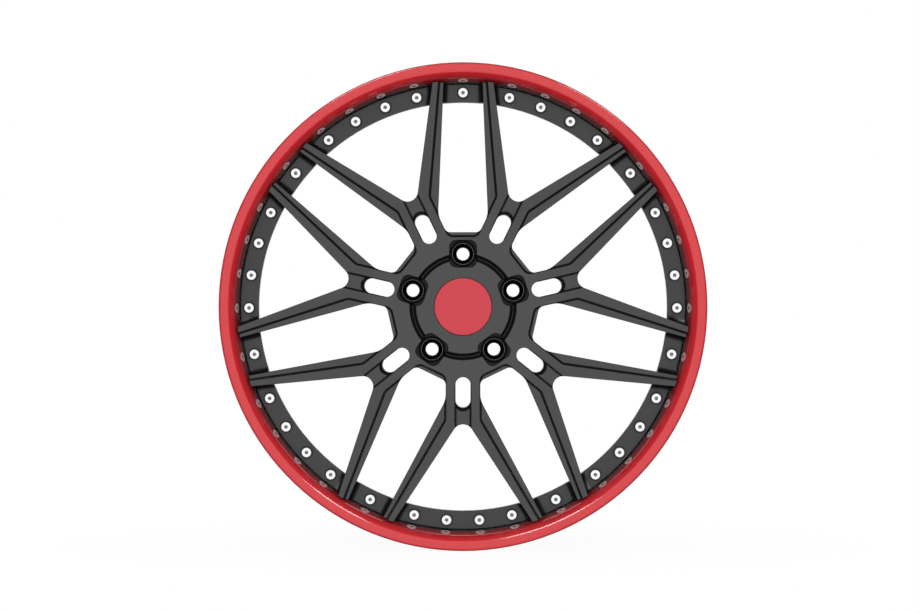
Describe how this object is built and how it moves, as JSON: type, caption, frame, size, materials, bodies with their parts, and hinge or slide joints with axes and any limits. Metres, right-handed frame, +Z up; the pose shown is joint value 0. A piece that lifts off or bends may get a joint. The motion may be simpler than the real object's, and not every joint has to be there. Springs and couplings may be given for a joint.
{
  "type": "forged wheel",
  "caption": "Bolted multi-piece car wheel: red outer lip, dark grey forged centre with forked spokes, drop-centre barrel, bright assembly bolts and a plain red centre cap.",
  "frame": {"origin": "wheel centre: on the axle line, midway between the two rim edges", "axes": "+Y is the axle line pointing inboard to the car, -Y the visible face, +Z up when the wheel is on the car, +X to the right seen from the face"},
  "size_m": [0.5474, 0.254, 0.5474],
  "materials": {
    "centre_paint": "satin dark grey powder coat",
    "lip_paint": "gloss red",
    "barrel_paint": "satin black",
    "sealant": "matt",
    "bolt_steel": "bright",
    "cap_red": "satin red",
    "spring_steel": "bright wire"
  },
  "bodies": {
    "root": {"centre_disc": "centre_paint", "outer_lip": "lip_paint", "inner_barrel": "barrel_paint", "rim_seal": "sealant", "assembly_bolts": "bolt_steel", "centre_cap": "cap_red", "cap_spring": "spring_steel"}
  },
  "joints": []
}
